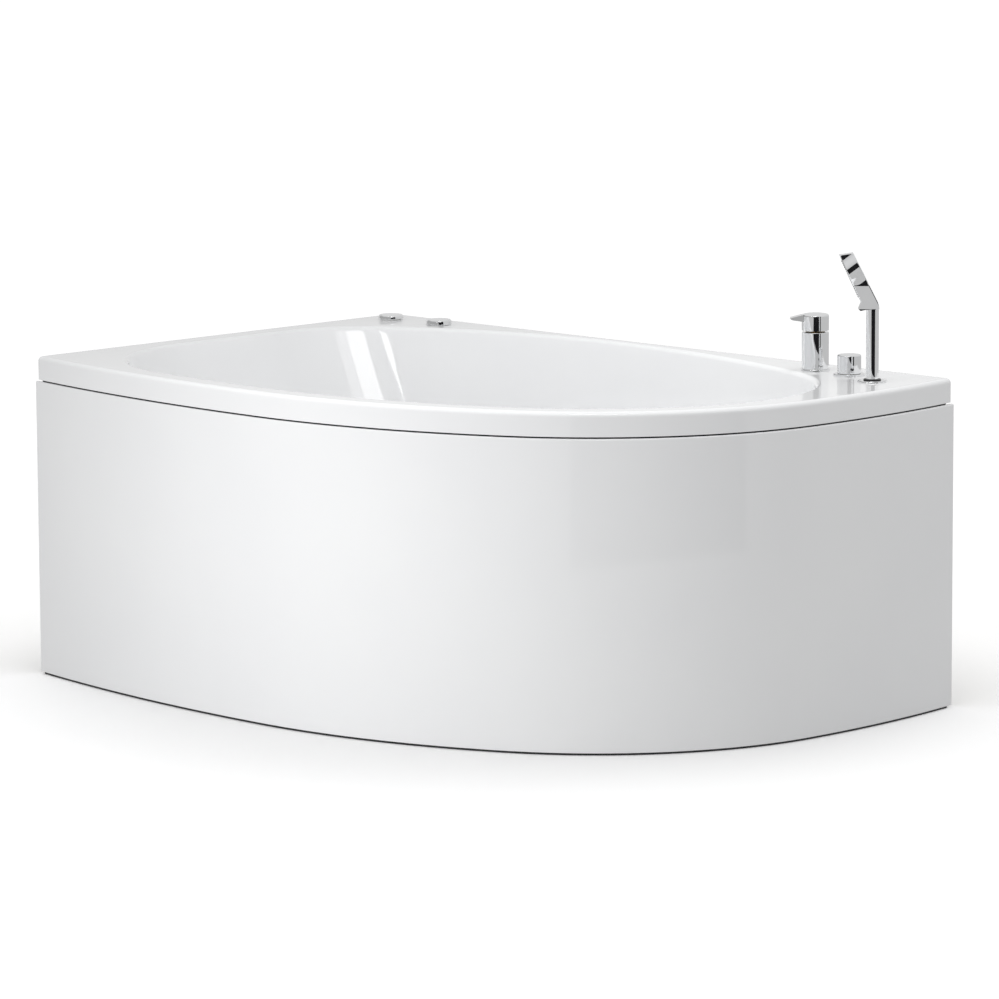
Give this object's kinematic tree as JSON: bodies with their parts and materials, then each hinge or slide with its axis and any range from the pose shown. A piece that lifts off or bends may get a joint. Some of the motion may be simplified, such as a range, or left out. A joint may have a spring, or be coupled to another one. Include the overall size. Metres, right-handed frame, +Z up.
{
  "type": "corner bathtub",
  "caption": "Asymmetric corner bath with a bowed one-piece apron on a steel frame, lever mixer, diverter and lift-out hand shower on the deck, pop-up waste and air massage.",
  "frame": {"origin": "on the floor, under the middle of the bath's outline", "axes": "+Z up, +Y towards the back wall, +X along the back wall from the room corner to the taps"},
  "size_m": [1.5233, 1.0114, 0.8586],
  "materials": {
    "acrylic": "gloss",
    "chrome": "mirror polish",
    "brass": "machined",
    "copper": "drawn tube",
    "galvanised": "zinc plated",
    "rubber": "matt",
    "white_plastic": "satin",
    "grey_plastic": "satin",
    "black_plastic": "satin",
    "board": "raw chipboard"
  },
  "bodies": {
    "bath": {"tub_shell": "acrylic", "front_apron": "acrylic", "base_board": "board", "frame_cross_rail_left": "galvanised", "frame_cross_rail_right": "galvanised", "frame_long_rail_back": "galvanised", "frame_long_rail_front": "galvanised", "frame_post_left": "galvanised", "frame_post_right": "galvanised", "foot_lock_nuts": "galvanised", "frame_bolts": "galvanised", "apron_clips": "grey_plastic", "wall_brackets": "galvanised", "drain_strainer": "chrome", "drain_neck": "white_plastic", "trap_nut": "white_plastic", "drain_trap": "white_plastic", "outlet_pipe": "white_plastic", "overflow_body": "white_plastic", "waste_gaskets": "rubber", "overflow_pipe": "white_plastic", "mixer_base_ring": "chrome", "mixer_body": "chrome", "mixer_cartridge": "black_plastic", "cartridge_nut": "brass", "supply_tails": "copper", "diverter_flange": "chrome", "diverter_valve": "brass", "link_pipe": "copper", "filler_pipe": "copper", "handset_flange": "chrome", "deck_nuts": "brass", "air_switch_body": "white_plastic", "air_regulator_body": "white_plastic", "air_duct": "grey_plastic", "air_nozzles": "chrome", "blower": "grey_plastic", "cable_gland": "black_plastic", "blower_tray": "galvanised", "air_hose": "black_plastic", "pilot_tubes": "white_plastic"},
    "mixer_rotor": {"cartridge_rotor": "brass"},
    "lever": {"mixer_lever": "chrome", "lever_pin": "chrome"},
    "diverter_handle": {"diverter_knob": "chrome"},
    "handset_holder": {"handset_guide": "black_plastic"},
    "hand_shower": {"handset": "chrome", "spray_plate": "black_plastic"},
    "overflow_cover": {"overflow_knob": "chrome"},
    "plug": {"drain_plug": "chrome"},
    "air_switch_cap": {"air_switch_button": "chrome"},
    "air_regulator_cap": {"air_regulator_knob": "chrome"},
    "foot_back_left": {"foot_pad_back_left": "rubber", "foot_stud_back_left": "galvanised"},
    "foot_front_left": {"foot_pad_front_left": "rubber", "foot_stud_front_left": "galvanised"},
    "foot_back_right": {"foot_pad_back_right": "rubber", "foot_stud_back_right": "galvanised"},
    "foot_front_right": {"foot_pad_front_right": "rubber", "foot_stud_front_right": "galvanised"}
  },
  "joints": [
    {"name": "mixer_turn", "type": "hinge", "parent": "bath", "child": "mixer_rotor", "pos_m": [0.47827, 0.41373, 0.7], "axis": [0, 0, 1], "range_deg": [-50, 50]},
    {"name": "mixer_lift", "type": "hinge", "parent": "mixer_rotor", "child": "lever", "pos_m": [0.491, 0.42645, 0.702], "axis": [-0.7071, 0.7071, 0], "range_deg": [0, 25]},
    {"name": "diverter_turn", "type": "hinge", "parent": "bath", "child": "diverter_handle", "pos_m": [0.57127, 0.40473, 0.64], "axis": [0, 0, 1], "range_deg": [0, 90]},
    {"name": "handset_turn", "type": "hinge", "parent": "bath", "child": "handset_holder", "pos_m": [0.66327, 0.36473, 0.6], "axis": [0, 0, 1], "continuous": true},
    {"name": "handset_lift", "type": "slide", "parent": "handset_holder", "child": "hand_shower", "axis": [0, 0, 1], "range_m": [0, 0.25]},
    {"name": "overflow_turn", "type": "hinge", "parent": "bath", "child": "overflow_cover", "pos_m": [0.6746, 0.05486, 0.545], "axis": [-0.9848, 0, 0.1736], "range_deg": [0, 90]},
    {"name": "plug_lift", "type": "slide", "parent": "bath", "child": "plug", "axis": [0, 0, 1], "range_m": [0, 0.01]},
    {"name": "air_switch_press", "type": "slide", "parent": "bath", "child": "air_switch_cap", "axis": [0, 0, -1], "range_m": [0, 0.003], "stiffness_N_per_m": 800, "springref_m": -0.002},
    {"name": "air_regulator_turn", "type": "hinge", "parent": "bath", "child": "air_regulator_cap", "pos_m": [-0.55473, 0.43473, 0.62], "axis": [0, 0, 1], "range_deg": [0, 270]},
    {"name": "foot_back_left_screw", "type": "slide", "parent": "bath", "child": "foot_back_left", "axis": [0, 0, -1], "range_m": [-0.004, 0.02]},
    {"name": "foot_front_left_screw", "type": "slide", "parent": "bath", "child": "foot_front_left", "axis": [0, 0, -1], "range_m": [-0.004, 0.02]},
    {"name": "foot_back_right_screw", "type": "slide", "parent": "bath", "child": "foot_back_right", "axis": [0, 0, -1], "range_m": [-0.004, 0.02]},
    {"name": "foot_front_right_screw", "type": "slide", "parent": "bath", "child": "foot_front_right", "axis": [0, 0, -1], "range_m": [-0.004, 0.02]}
  ],
  "couplings": [
    {"joint": "plug_lift", "follows": "overflow_turn", "m_per_rad": 0.006366}
  ]
}
